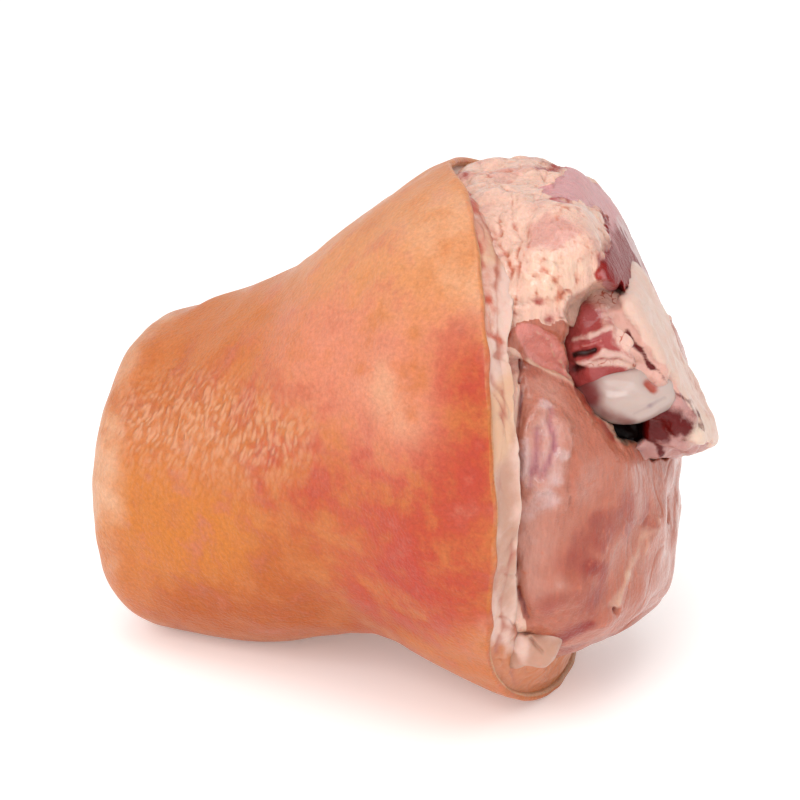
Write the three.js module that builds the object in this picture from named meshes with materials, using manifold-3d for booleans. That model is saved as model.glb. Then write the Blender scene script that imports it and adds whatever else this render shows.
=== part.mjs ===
// A pork knuckle: the lower leg with its rind on, lying on its side, sawn through at both ends.
// Millimetres, +Z up. The leg's axis runs along X: the narrow shank end is at -X and the wide joint
// end at +X. -Y is the near side. The origin is the middle of the footprint, on the ground.
import * as THREE from 'three';
import { LoftGeometry } from 'three/addons/geometries/LoftGeometry.js';
import { mergeVertices } from 'three/addons/utils/BufferGeometryUtils.js';
import Module from 'manifold-3d';

const wasm = await Module();
wasm.setup();

// ---- driving dimensions -------------------------------------------------------------------
// Lengths along X are counted from a station in the middle of the shank, LEG_SHIFT moves them.
const LEG_SHIFT = new THREE.Vector3( - 11.8, 1.2, 0 );  // brings the footprint's middle to the origin

const SHANK_END = - 66.2;        // where the shank is sawn off
const SHANK_HEIGHT = 85;         // height of the leg at the shank
const FLARE_HEIGHT = 51;         // how much the leg gains towards the joint
const FLARE_FROM = - 60;
const FLARE_TO = 37.6;
const NECK = { depth: 2.3, at: - 14.5, span: 12 };  // shallow hollow along the top
const ARCH = { rise: 11, at: 13, span: 26 };         // the underside lifts between the two ends
const SETTLE = 2;                // how far the soft underside is pressed flat by its own weight
const WIDTH_RATIO = 0.9;         // the leg is a little narrower than high
const ROUNDNESS = 2.2;           // exponent of the superellipse that a section follows
const END_ROLL = 12.4;           // radius of the rind curling in at the shank end

// How far the rind reaches along X, every 45 degrees from the near side over the top.
const RIM_REACH = [ 56, 45, 20, 22, 34, 42, 53, 47.5 ];
const RIM_SWELL = 2.5;           // the fat bulges out of the cut rim

const FAT_AT_SHANK = 6.5;        // rind and fat together
const FAT_AT_RIM = 9;
const FAT_FLAP = { extra: 4, angle: - 80, span: 35 };  // thicker fat under the joint
const GAP = 0.35;                // clearance between touching pieces
const SEAM_DEPTH = 3;            // the lean ends this far inside the fat's rim

const SHANK_FACE_RECESS = 2;     // the lean has drawn back from the rind at the shank end
// The long bone: two shafts grown together, each this thick, with a waist between them.
const SHANK_BONE = { from: - 65, to: 36, centreZ: 43, endRise: 18, half: 8.5, apart: 9, waist: 0.3 };

// The plane that the saw left across the top of the joint.
const SAW_PLANE = { azimuth: 106.3, elevation: 26.9, offset: 106.5 };

// Soft solids: rounded bodies between planes. A face is [azimuth, elevation, distance from the
// centre]. Azimuth 0 faces the near side and 90 faces +X. A lump is a swelling or a hollow.
const LOWER_MUSCLE = {
	centre: [ 45, - 2, 46 ], sharpness: 14,
	faces: [
		[ 0, 0, 47 ], [ 30, 0, 45.5 ], [ 60, 0, 39 ], [ 85, 0, 34.5 ], [ 105, 0, 36 ], [ 100, - 12, 39 ],
		[ 82, - 42, 39.5 ], [ 73, - 51, 38.5 ], [ 0, - 90, 36 ], [ 20, - 45, 42 ], [ 0, - 45, 39 ],
		[ 90, 38, 39.5 ], [ 95, 55, 47 ], [ 0, 50, 59 ], [ 0, 90, 60 ], [ 270, 0, 11 ],
		[ 180, 0, 50 ], [ 150, 0, 46 ], [ 180, - 45, 45 ], [ 180, 50, 56 ], [ 135, - 30, 45 ],
	],
	lumps: [
		{ at: [ 77, 12, 32 ], swell: 2, spread: 9 },
		{ at: [ 64, - 38, 68 ], swell: 2, spread: 8 },
	],
};
const UPPER_MASS = {
	centre: [ 42, 2, 96 ], sharpness: 14,
	faces: [
		[ 0, 90, 36.7 ], [ 0, 0, 47.5 ], [ 0, 44, 43 ], [ 45, 8, 40 ], [ 40, - 45, 25.5 ], [ 75, - 60, 32 ],
		[ 0, - 90, 40 ], [ 180, 0, 47 ], [ 180, 45, 43 ], [ 135, 10, 44 ], [ 270, 0, 23 ], [ 270, 45, 37 ],
	],
	lumps: [
		{ at: [ 64, - 30, 116 ], swell: 2.5, spread: 10 },
		{ at: [ 52, - 38, 116 ], swell: - 1.5, spread: 5 },
	],
};
const BONE_WEDGE = {
	centre: [ 67, 3, 78 ], sharpness: 11,
	faces: [
		[ 46, - 66, 21 ], [ 84, - 43, 25.5 ], [ 10, - 5, 20 ], [ 180, 0, 17 ], [ 286.3, - 26.9, 9 ],
		[ 285, 60, 26 ], [ 50, 20, 28 ],
	],
	lumps: [],
};
const BONE_PROUD = 1.5;          // the sawn bone stands this far out of the sawn lean
// Rounded bone ends: the three half sizes lie along right, up and towards, seen from the near right.
const KNOB = { centre: [ 71, - 11.5, 81 ], half: [ 11.5, 8, 12 ] };
const KNOB_NECK = { centre: [ 63, - 11, 94 ], half: [ 11, 14, 12 ] };
const KNOB_AZIMUTH = 23;
const KNOB_ELEVATION = 19;

const RIND_SIDES = 48;
const OUTER_STATIONS = [ 0, 0.004, 0.012, 0.03, 0.055, 0.09, 0.16, 0.24, 0.32, 0.4, 0.48, 0.56, 0.64,
	0.72, 0.8, 0.88, 0.95, 1 ];
const INNER_STATIONS = [ 0, 0.012, 0.035, 0.09, 0.2, 0.34, 0.48, 0.62, 0.76, 0.88, 1 ];
const SWELL_STEPS = 4;
const MERGE_DISTANCE = 1e-4;
const WAIST_REACH = 0.4;
const BONE_SIDES = 24;
const BONE_STEPS = 8;
const MASS_DETAIL = 10;
const BONE_DETAIL = 5;

// ---- colours --------------------------------------------------------------------------------
const RIND_COLOUR = '#e0926a';
const MEAT_COLOUR = '#c4786a';
const BONE_COLOUR = '#e6c4b2';

// ---- helpers --------------------------------------------------------------------------------
const degrees = THREE.MathUtils.degToRad;
const bell = ( x ) => Math.exp( - x * x );

// A direction from its azimuth and elevation in degrees.
function facing( azimuth, elevation ) {

	const a = degrees( azimuth );
	const e = degrees( elevation );
	return new THREE.Vector3( Math.sin( a ) * Math.cos( e ), - Math.cos( a ) * Math.cos( e ), Math.sin( e ) );

}

// A geometry as a closed solid, with its shared vertices joined.
function solidOf( geometry ) {

	const bare = new THREE.BufferGeometry();
	bare.setAttribute( 'position', geometry.attributes.position );
	bare.setIndex( geometry.index );
	const merged = mergeVertices( bare, MERGE_DISTANCE );
	const mesh = new wasm.Mesh( {
		numProp: 3,
		vertProperties: new Float32Array( merged.attributes.position.array ),
		triVerts: new Uint32Array( merged.index.array ),
	} );
	mesh.merge();
	return new wasm.Manifold( mesh );

}

// The largest body of a solid, without the loose scraps that cutting leaves.
function mainBody( solid ) {

	return solid.decompose().reduce( ( best, body ) => ( body.volume() > best.volume() ? body : best ) );

}

function geometryOf( solid ) {

	const mesh = solid.getMesh();
	const geometry = new THREE.BufferGeometry();
	geometry.setAttribute( 'position', new THREE.BufferAttribute( mesh.vertProperties, 3 ) );
	geometry.setIndex( new THREE.BufferAttribute( mesh.triVerts, 1 ) );
	geometry.computeVertexNormals();
	return geometry;

}

// ---- the leg's skin ---------------------------------------------------------------------------
// Where the rind ends along X at an angle round the leg: a smooth closed curve through RIM_REACH.
function rimReach( angle ) {

	const count = RIM_REACH.length;
	const turn = ( ( angle / ( 2 * Math.PI ) ) * count + count ) % count;
	const i = Math.floor( turn );
	const f = turn - i;
	const [ a, b, c, d ] = [ - 1, 0, 1, 2 ].map( ( k ) => RIM_REACH[ ( i + k + count ) % count ] );
	return 0.5 * ( 2 * b + ( c - a ) * f + ( 2 * a - 5 * b + 4 * c - d ) * f * f
		+ ( 3 * b - a - 3 * c + d ) * f * f * f );

}

// Rind and fat together: thin at the shank, thick at the rim and under the joint.
function fatDepth( along, angle ) {

	const turned = THREE.MathUtils.euclideanModulo( angle - degrees( FAT_FLAP.angle ) + Math.PI, 2 * Math.PI );
	const flap = FAT_FLAP.extra * along * bell( ( turned - Math.PI ) / degrees( FAT_FLAP.span ) );
	return THREE.MathUtils.lerp( FAT_AT_SHANK, FAT_AT_RIM, along ) + flap;

}

// A point of the leg: along is 0 at the shank end and 1 at the rim, angle runs from the near side
// over the top, depth is how far below the skin it lies, and beyond moves it past its station.
function legPoint( along, angle, depth, beyond = 0 ) {

	const n = Math.cos( angle );
	const b = Math.sin( angle );
	const x = SHANK_END + along * ( rimReach( angle ) - SHANK_END );
	const top = SHANK_HEIGHT + FLARE_HEIGHT * THREE.MathUtils.smoothstep( x, FLARE_FROM, FLARE_TO )
		- NECK.depth * bell( ( x - NECK.at ) / NECK.span );
	const bottom = ARCH.rise * bell( ( x - ARCH.at ) / ARCH.span ) - SETTLE;
	const intoRoll = THREE.MathUtils.clamp( ( END_ROLL - ( x - SHANK_END ) ) / END_ROLL, 0, 1 );
	const inset = depth + END_ROLL * ( 1 - Math.sqrt( 1 - intoRoll * intoRoll ) );
	const halfHeight = ( top - bottom ) / 2;
	const squareness = Math.pow( Math.abs( n ) ** ROUNDNESS + Math.abs( b ) ** ROUNDNESS, - 1 / ROUNDNESS );
	return new THREE.Vector3(
		x + beyond,
		- ( WIDTH_RATIO * halfHeight - inset ) * n * squareness,
		Math.max( ( top + bottom ) / 2 + ( halfHeight - inset ) * b * squareness, 0 ),
	);

}

// One ring round the leg; shape gives the point at an angle. Rings follow each other towards the
// shank, so that the faces between them point outwards.
function ring( shape ) {

	return Array.from( { length: RIND_SIDES }, ( _, i ) => shape( ( i / RIND_SIDES ) * 2 * Math.PI ) );

}

// The sleeve of rind and fat: outside from the rim to the shank, back along the inside, and over the
// swollen edge of the rim. grow makes it thicker all over.
function sleeveSolid( grow = 0 ) {

	const outside = [ ...OUTER_STATIONS ].reverse().map(
		( along ) => ring( ( angle ) => legPoint( along, angle, - grow, along === 0 ? - grow : 0 ) ) );
	const inside = INNER_STATIONS.map(
		( along ) => ring( ( angle ) => legPoint( along, angle, fatDepth( along, angle ) + grow,
			along === 0 ? - grow : 0 ) ) );
	const edge = [];
	for ( let step = 1; step < SWELL_STEPS; step ++ ) {

		const t = step / SWELL_STEPS;
		edge.push( ring( ( angle ) => legPoint( 1, angle,
			THREE.MathUtils.lerp( fatDepth( 1, angle ) + grow, - grow, t ),
			RIM_SWELL * Math.sin( Math.PI * t ) + grow ) ) );

	}

	return solidOf( new LoftGeometry( [ ...outside, ...inside, ...edge, outside[ 0 ] ], { closed: true } ) );

}

// The lean inside the sleeve, from the shank's face to just short of the rim.
function coreSolid() {

	const rings = [ ...INNER_STATIONS ].reverse().map( ( along ) => ring( ( angle ) => legPoint( along, angle,
		fatDepth( along, angle ) + GAP,
		THREE.MathUtils.lerp( SHANK_FACE_RECESS, - SEAM_DEPTH, along ) ) ) );
	return solidOf( new LoftGeometry( rings, { closed: true, capStart: true, capEnd: true } ) );

}

// ---- soft solids ------------------------------------------------------------------------------
// A rounded body: along a direction d its radius is ( sum of ( d . face / distance ) ^ sharpness )
// ^ ( -1 / sharpness ), which follows the faces and rounds the edges between them.
function softSolid( { centre, faces, sharpness, lumps }, detail, grow = 0 ) {

	const middle = new THREE.Vector3( ...centre );
	const sides = faces.map( ( [ azimuth, elevation, distance ] ) => ( {
		normal: facing( azimuth, elevation ), distance } ) );
	const geometry = new THREE.IcosahedronGeometry( 1, detail );
	const position = geometry.attributes.position;
	const direction = new THREE.Vector3();
	const point = new THREE.Vector3();
	for ( let i = 0; i < position.count; i ++ ) {

		direction.fromBufferAttribute( position, i ).normalize();
		let sum = 0;
		for ( const { normal, distance } of sides ) {

			sum += Math.max( direction.dot( normal ) / distance, 0 ) ** sharpness;

		}

		point.copy( middle ).addScaledVector( direction, sum ** ( - 1 / sharpness ) );
		let swell = grow;
		for ( const lump of lumps ) {

			const distance = point.distanceTo( new THREE.Vector3( ...lump.at ) );
			swell += lump.swell * bell( distance / ( Math.SQRT2 * lump.spread ) );

		}

		point.addScaledVector( direction, swell );
		position.setXYZ( i, point.x, point.y, point.z );

	}

	return solidOf( geometry );

}

// The saw plane as a face of a soft solid with this centre, moved out by clear.
function sawFace( centre, clear = 0 ) {

	const { azimuth, elevation, offset } = SAW_PLANE;
	const distance = offset - facing( azimuth, elevation ).dot( new THREE.Vector3( ...centre ) );
	return [ azimuth, elevation, distance + clear ];

}

function withSawFace( shape, clear = 0 ) {

	return { ...shape, faces: [ ...shape.faces, sawFace( shape.centre, clear ) ] };

}

// A rounded bone end, turned so that its half sizes lie along right, up and towards.
function knobSolid( { centre, half }, grow = 0 ) {

	const geometry = new THREE.IcosahedronGeometry( 1, BONE_DETAIL );
	geometry.scale( half[ 0 ] + grow, half[ 1 ] + grow, half[ 2 ] + grow );
	const towards = facing( KNOB_AZIMUTH, KNOB_ELEVATION );
	const right = facing( KNOB_AZIMUTH + 90, 0 );
	const up = new THREE.Vector3().crossVectors( towards, right );
	geometry.applyMatrix4( new THREE.Matrix4().makeBasis( right, up, towards ) );
	geometry.translate( ...centre );
	return solidOf( geometry );

}

// ---- the bones --------------------------------------------------------------------------------
function jointBoneSolid( grow = 0 ) {

	return softSolid( withSawFace( BONE_WEDGE, BONE_PROUD ), BONE_DETAIL + 2, grow )
		.add( knobSolid( KNOB, grow ) )
		.add( knobSolid( KNOB_NECK, grow ) );

}

// The long bone runs through the leg from its sawn end at the shank.
function shankBoneSolid( grow = 0 ) {

	const { from, to, centreZ, endRise, half, apart, waist } = SHANK_BONE;
	const rings = [];
	for ( let step = BONE_STEPS; step >= 0; step -- ) {

		const t = step / BONE_STEPS;
		const x = THREE.MathUtils.lerp( from - grow, to + grow, t );
		const middleZ = centreZ + endRise * t * t;
		rings.push( Array.from( { length: BONE_SIDES }, ( _, i ) => {

			const angle = ( i / BONE_SIDES ) * 2 * Math.PI;
			const high = Math.sin( angle );
			const halfWidth = half * ( 1 - waist * bell( high / WAIST_REACH ) ) + grow;
			const halfHeight = half + apart / 2 + grow;
			return new THREE.Vector3( x, - Math.cos( angle ) * halfWidth, middleZ + high * halfHeight );

		} ) );

	}

	return solidOf( new LoftGeometry( rings, { closed: true, capStart: true, capEnd: true } ) );

}

// ---- the lean ---------------------------------------------------------------------------------
function meatSolid() {

	const whole = coreSolid()
		.add( softSolid( LOWER_MUSCLE, MASS_DETAIL ) )
		.add( softSolid( withSawFace( UPPER_MASS ), MASS_DETAIL ) );
	return mainBody( whole
		.subtract( sleeveSolid( GAP ) )
		.subtract( jointBoneSolid( GAP ) )
		.subtract( shankBoneSolid( GAP ) ) );

}

// ---- the knuckle ------------------------------------------------------------------------------
const knuckle = new THREE.Group();
knuckle.position.copy( LEG_SHIFT );

function addPiece( name, solid, colour, roughness ) {

	const material = new THREE.MeshStandardMaterial( { color: colour, roughness, metalness: 0 } );
	const mesh = new THREE.Mesh( geometryOf( solid ), material );
	mesh.name = name;
	knuckle.add( mesh );

}

addPiece( 'rind_and_fat', sleeveSolid(), RIND_COLOUR, 0.45 );
addPiece( 'meat', meatSolid(), MEAT_COLOUR, 0.4 );
addPiece( 'joint_bone', jointBoneSolid(), BONE_COLOUR, 0.4 );
addPiece( 'shank_bone', shankBoneSolid(), BONE_COLOUR, 0.5 );

export default knuckle;
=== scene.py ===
# %% [markdown]
# # A raw pork knuckle, made as surfaces
#
# The knuckle is the lower leg of a pig with its skin on, lying on its side. A saw has cut it at both
# ends. From outside to inside it has a rind, a band of soft fat, lean muscle under a wet membrane,
# and bone. The CAD model gives the place and size of each; this lesson gives each its real surface.
#
# Every shape here is a function of two parameters on a grid, worked out with numpy as whole arrays.

# %% The frame
import math

import bpy
import numpy as np
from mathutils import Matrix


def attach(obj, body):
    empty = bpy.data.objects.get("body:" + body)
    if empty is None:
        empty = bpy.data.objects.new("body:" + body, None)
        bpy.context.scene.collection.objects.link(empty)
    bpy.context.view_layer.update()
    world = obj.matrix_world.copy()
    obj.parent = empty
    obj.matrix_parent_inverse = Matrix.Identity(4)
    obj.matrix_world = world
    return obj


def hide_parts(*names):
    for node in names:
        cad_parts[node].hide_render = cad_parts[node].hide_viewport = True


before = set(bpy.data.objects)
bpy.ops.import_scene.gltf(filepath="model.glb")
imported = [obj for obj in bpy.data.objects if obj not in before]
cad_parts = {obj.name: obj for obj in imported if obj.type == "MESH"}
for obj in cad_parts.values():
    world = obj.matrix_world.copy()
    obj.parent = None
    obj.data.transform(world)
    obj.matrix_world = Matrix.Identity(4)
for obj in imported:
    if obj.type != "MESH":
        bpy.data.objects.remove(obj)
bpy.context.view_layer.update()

# %% [markdown]
# ## The leg's measures
#
# Lengths are in millimetres, in a frame where X runs along the leg from the shank to the joint, -Y is
# the near side and +Z is up. LEG_SHIFT moves that frame to the CAD's origin. The measures are the
# CAD's own, so each surface lies where its solid does.

# %% Measures of the leg
MM = 0.001
LEG_SHIFT = np.array([-11.8, 1.2, 0.0])
SHANK_END = -66.2
SHANK_HEIGHT = 85.0
FLARE_HEIGHT = 51.0
FLARE_FROM, FLARE_TO = -60.0, 37.6
NECK_DEPTH, NECK_AT, NECK_SPAN = 2.3, -14.5, 12.0
ARCH_RISE, ARCH_AT, ARCH_SPAN = 11.0, 13.0, 26.0
SETTLE = 2.0
WIDTH_RATIO = 0.9
ROUNDNESS = 2.2
END_ROLL = 12.4
RIM_REACH = np.array([55.5, 45, 20, 22, 34, 42, 53, 50])
FAT_AT_SHANK, FAT_AT_RIM = 6.5, 9.0
FLAP_EXTRA, FLAP_ANGLE, FLAP_SPAN = 4.0, math.radians(-80), math.radians(35)
FIRST_ANGLE = -math.pi / 2
SAW_AZIMUTH, SAW_ELEVATION, SAW_OFFSET = 106.3, 26.9, 106.5
BONE_PROUD = 1.5


# %% [markdown]
# ## Small tools for shapes
#
# A surface needs relief, and meat has no straight edges. Two kinds of noise do nearly all of it:
# *waves*, a sum of sine waves in random directions, for soft swelling, and *cells*, the distance to
# scattered centres, for lobes of fat. Both are seeded, so each run gives the same knuckle.

# %% Steps, bells and directions
def bell(x):
    """exp(-x^2): 1 in the middle and nearly 0 past 2."""
    return np.exp(-x * x)


def smooth_step(x, low, high):
    """3t^2 - 2t^3, where t runs from 0 at low to 1 at high."""
    t = np.clip((x - low) / (high - low), 0, 1)
    return t * t * (3 - 2 * t)


def facing(azimuth, elevation):
    """The unit vector at these angles in degrees: azimuth 0 is the near side and 90 is +X."""
    a, e = math.radians(azimuth), math.radians(elevation)
    return np.array([math.sin(a) * math.cos(e), -math.cos(a) * math.cos(e), math.sin(e)])


# %% Noise
def waves(points, size, seed, count=24):
    """Soft relief of about -1 to 1: the sum of count sine waves in random directions, each about
    size long, divided by the square root of count."""
    draw = np.random.default_rng(seed)
    ways = draw.normal(size=(count, 3))
    ways /= np.linalg.norm(ways, axis=1, keepdims=True)
    turns = 2 * math.pi / (size * draw.uniform(0.7, 1.5, count))
    starts = draw.uniform(0, 2 * math.pi, count)
    return np.sin(points @ (ways * turns[:, None]).T + starts).sum(-1) / math.sqrt(count)


SCRAMBLE = np.array([[127.1, 269.5, 113.5], [311.7, 183.3, 271.9], [74.7, 246.1, 124.6]])
BIG = 43758.5453


def cells(points, size, seed):
    """Lobes: 1 minus the distance to the nearest of many scattered centres, in cells of this size. It
    is near 1 in the middle of a lobe and about 0.3 in a crease. Each lattice corner's centre is moved
    by the fraction that is left of a big sine of the corner, which looks random and never changes."""
    place = points / size
    base = np.floor(place)
    nearest = np.full(points.shape[:-1], np.inf)
    for step in np.ndindex(3, 3, 3):
        corner = base + np.array(step) - 1
        jitter = np.modf(np.abs(np.sin(corner @ SCRAMBLE + seed) * BIG))[0]
        nearest = np.minimum(nearest, np.linalg.norm(corner + jitter - place, axis=-1))
    return 1 - nearest


def creases(points, size, seed, width=0.16):
    """Thin wandering lines: 1 where soft waves cross zero and 0 past width from there. The points are
    first pushed about by other waves, so that no line is straight."""
    pushed = points + 0.25 * size * waves(points, size, seed + 1)[..., None]
    return bell(waves(pushed, size, seed) / width)


# %% Marks on a surface
TINY = 1e-9  # stands in for zero where something is divided by it


def patch(points, at, radius):
    """A round patch: exp(-d^2 / radius^2), where d is the distance to the point at."""
    return bell(np.linalg.norm(points - np.array(at), axis=-1) / radius)


def stroke(points, start, end, radius):
    """A long mark: exp(-d^2 / radius^2), where d is the distance to the line from start to end."""
    start, end = np.array(start, float), np.array(end, float)
    along = end - start
    t = np.clip(((points - start) @ along) / (along @ along), 0, 1)
    return bell(np.linalg.norm(points - start - t[..., None] * along, axis=-1) / radius)


def region(places, corners, soft=0.5, ragged=0.0):
    """1 inside a closed outline on the sheet and 0 outside. The signed distance to the nearest side,
    plus ragged, runs from -soft to soft across the edge."""
    corners = np.array(corners, float)
    nearest = np.full(places.shape[:-1], np.inf)
    inside = np.zeros(places.shape[:-1], bool)
    for a, b in zip(corners, np.roll(corners, -1, axis=0)):
        side = b - a
        t = np.clip(((places - a) @ side) / (side @ side), 0, 1)
        nearest = np.minimum(nearest, np.linalg.norm(places - a - t[..., None] * side, axis=-1))
        crosses = (a[1] > places[..., 1]) != (b[1] > places[..., 1])
        meets = a[0] + (places[..., 1] - a[1]) * side[0] / (side[1] if side[1] else TINY)
        inside ^= crosses & (places[..., 0] < meets)
    return smooth_step(np.where(inside, nearest, -nearest) + ragged, -soft, soft)


def marks(points, listed):
    """All marks of a list together, 1 - (1 - a)(1 - b)...: a mark is (at, radius, strength) or
    (start, end, radius, strength)."""
    left = np.ones(points.shape[:-1])
    for *place, radius, strength in listed:
        shape = patch(points, *place, radius) if len(place) == 1 else stroke(points, *place, radius)
        left *= 1 - strength * shape
    return 1 - left


# %% [markdown]
# ## From a grid to a mesh
#
# A grid is an array of rows and columns of points. The columns always close round the piece. The
# rows either close too, as on a ring, or end in a pole at each end, which one point closes.

# %% Normals, and a mesh from a grid
def normals(grid):
    """Unit normals: the cross product of the steps along the columns and along the rows."""
    across = np.roll(grid, -1, axis=1) - np.roll(grid, 1, axis=1)
    down = np.gradient(grid, axis=0)
    normal = np.cross(down, across)
    return normal / np.maximum(np.linalg.norm(normal, axis=-1, keepdims=True), TINY)


def add_surface(name, grid, masks, closed_rows=False):
    """Makes a mesh from a grid (rows, columns, 3) in millimetres. Point n is row * columns + column, a
    face joins four neighbours, and masks are named values from 0 to 1 per point for the materials."""
    rows, columns = grid.shape[:2]
    last = rows if closed_rows else rows - 1
    r, c = (a.ravel() for a in np.meshgrid(np.arange(last), np.arange(columns), indexing="ij"))
    down, right = (r + 1) % rows, (c + 1) % columns
    quads = np.stack([r * columns + c, down * columns + c, down * columns + right, r * columns + right], 1)
    points = grid.reshape(-1, 3)
    faces = quads.tolist()
    values = {key: np.clip(np.broadcast_to(mask, (rows, columns)), 0, 1).ravel()
              for key, mask in masks.items()}
    if not closed_rows:
        rim = np.arange(columns)
        after = (rim + 1) % columns
        top, bottom = len(points), len(points) + 1
        foot = (rows - 1) * columns
        points = np.vstack([points, grid[0].mean(0), grid[-1].mean(0)])
        faces += np.stack([np.full(columns, top), rim, after], 1).tolist()
        faces += np.stack([np.full(columns, bottom), foot + after, foot + rim], 1).tolist()
        values = {key: np.append(v, [v[:columns].mean(), v[-columns:].mean()])
                  for key, v in values.items()}
    mesh = bpy.data.meshes.new(name)
    mesh.from_pydata(((points + LEG_SHIFT) * MM).tolist(), [], faces)
    for key, value in values.items():
        mesh.attributes.new(key, "FLOAT", "POINT").data.foreach_set("value", value.astype(np.float32))
    mesh.shade_smooth()
    piece = bpy.data.objects.new(name, mesh)
    bpy.context.collection.objects.link(piece)
    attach(piece, "root")
    low, high = (points + LEG_SHIFT).min(0), (points + LEG_SHIFT).max(0)
    print(f"{name}: {len(faces)} faces, {low.round(1)} to {high.round(1)} mm")
    return piece


# %% [markdown]
# ## The leg's form
#
# A section through the leg is a superellipse: |n/a|^p + |b/h|^p = 1, with p a little over 2, so it is a
# touch squarer than an ellipse. Its height grows along the leg, the shank end curls in by a quarter
# round, and the cut rim reaches further on some sides than on others.

# %% The leg's form
def all_round(columns, first=FIRST_ANGLE):
    """Angles for the columns of a grid, evenly spaced all the way round from first."""
    return first + np.arange(columns) / columns * 2 * math.pi


def rows_of(*parts):
    """The stretches of a section one after another, with one value for each row of the grid."""
    return np.concatenate(parts)[:, None]


def turned_from(angle, other):
    """The turn from other to angle, between -pi and pi."""
    return (angle - other + math.pi) % (2 * math.pi) - math.pi


def rim_reach(angle):
    """Where the rind ends along X: a closed Catmull-Rom curve through RIM_REACH, every 45 degrees."""
    count = len(RIM_REACH)
    turn = (angle / (2 * math.pi) * count) % count
    i = np.floor(turn).astype(int)
    f = turn - i
    a, b, c, d = (RIM_REACH[(i + k) % count] for k in (-1, 0, 1, 2))
    return 0.5 * (2 * b + (c - a) * f + (2 * a - 5 * b + 4 * c - d) * f**2 + (3 * b - a - 3 * c + d) * f**3)


def fat_depth(along, angle):
    """Rind and fat together: a straight line from shank to rim, and a bell of extra fat below."""
    thick = FAT_AT_SHANK + (FAT_AT_RIM - FAT_AT_SHANK) * along
    return thick + FLAP_EXTRA * along * bell(turned_from(angle, FLAP_ANGLE) / FLAP_SPAN)


def leg_point(along, angle, depth, beyond=0.0):
    """A point depth under the skin. along is 0 at the shank end and 1 at the rim, angle runs from the
    near side over the top. y = -(a - inset) n m and z = middle + (h - inset) b m, where n and b are
    the cosine and sine, m = (|n|^p + |b|^p)^(-1/p), and z stops at the ground."""
    n, b = np.cos(angle), np.sin(angle)
    x = SHANK_END + along * (rim_reach(angle) - SHANK_END)
    top = SHANK_HEIGHT + FLARE_HEIGHT * smooth_step(x, FLARE_FROM, FLARE_TO)
    top = top - NECK_DEPTH * bell((x - NECK_AT) / NECK_SPAN)
    bottom = ARCH_RISE * bell((x - ARCH_AT) / ARCH_SPAN) - SETTLE
    into_roll = np.clip((END_ROLL - (x - SHANK_END)) / END_ROLL, 0, 1)
    inset = depth + END_ROLL * (1 - np.sqrt(1 - into_roll**2))
    half = (top - bottom) / 2
    m = (np.abs(n) ** ROUNDNESS + np.abs(b) ** ROUNDNESS) ** (-1 / ROUNDNESS)
    y = -(WIDTH_RATIO * half - inset) * n * m
    z = np.maximum((top + bottom) / 2 + (half - inset) * b * m, 0)
    return np.stack(np.broadcast_arrays(x + beyond, y, z), -1)


# %% [markdown]
# ## Colours and nodes
#
# Colours are written as they look on screen, in hex, and one function makes them linear, because
# light adds up in linear values. One more function adds a node with its settings and its links.

# %% Colour and node helpers
def linear(hex_colour):
    """sRGB to linear: ((c + 0.055) / 1.055)^2.4, or c / 12.92 near black."""
    c = np.array([int(hex_colour[i:i + 2], 16) for i in (1, 3, 5)]) / 255
    return (*np.where(c <= 0.04045, c / 12.92, ((c + 0.055) / 1.055) ** 2.4), 1.0)


def add(tree, kind, inputs=None, **settings):
    """Adds a node. inputs maps an input's name or number to a value, a socket to link, or a node
    whose first output is linked. settings are the node's own properties. A MapRange takes input 0 from
    the range of inputs 1 and 2 to that of 3 and 4, and a Mix blends colours 6 and 7 by input 0."""
    node = tree.nodes.new("ShaderNode" + kind)
    for key, value in settings.items():
        setattr(node, key, value)
    for key, value in (inputs or {}).items():
        if isinstance(value, bpy.types.Node):
            value = value.outputs[0]
        if isinstance(value, bpy.types.NodeSocket):
            tree.links.new(value, node.inputs[key])
        else:
            node.inputs[key].default_value = value
    return node


# %% Coats of colour, relief and a finished material
def paint(tree, base, grain, coats):
    """Lays coats of colour over a base. A coat is (mask, colour, low, high, fray): where the mask plus
    fray times the grain goes from low to high, the coat goes from nothing to full."""
    colour = base
    for name, shade, low, high, fray in coats:
        value = add(tree, "Attribute", attribute_name=name).outputs["Fac"]
        centred = add(tree, "Math", {0: grain, 1: 0.5}, operation="SUBTRACT")
        frayed = add(tree, "Math", {0: centred, 1: fray, 2: value}, operation="MULTIPLY_ADD")
        share = add(tree, "MapRange", {0: frayed, 1: low, 2: high}, interpolation_type="SMOOTHSTEP")
        colour = add(tree, "Mix", {0: share, 6: colour, 7: linear(shade)}, data_type="RGBA").outputs[2]
    return colour


def relief(tree, heights):
    """Bumps over each other, each a (height, depth in millimetres)."""
    normal = None
    for height, depth in heights:
        inputs = {"Height": height, "Distance": depth * MM}
        if normal is not None:
            inputs["Normal"] = normal
        normal = add(tree, "Bump", inputs)
    return normal


def start_material(name):
    """An empty material, its node tree and its object coordinates in metres."""
    material = bpy.data.materials.new(name)
    material.use_nodes = True
    tree = material.node_tree
    tree.nodes.clear()
    return material, tree, add(tree, "TexCoord").outputs["Object"]


def wetness(tree, dry, coat):
    """The weight of the wet coat: coat where the mask dry is 0, and none where it is 1."""
    mask = add(tree, "Attribute", attribute_name=dry).outputs["Fac"]
    return add(tree, "MapRange", {0: mask, 3: coat, 4: 0.0}).outputs[0]


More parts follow.
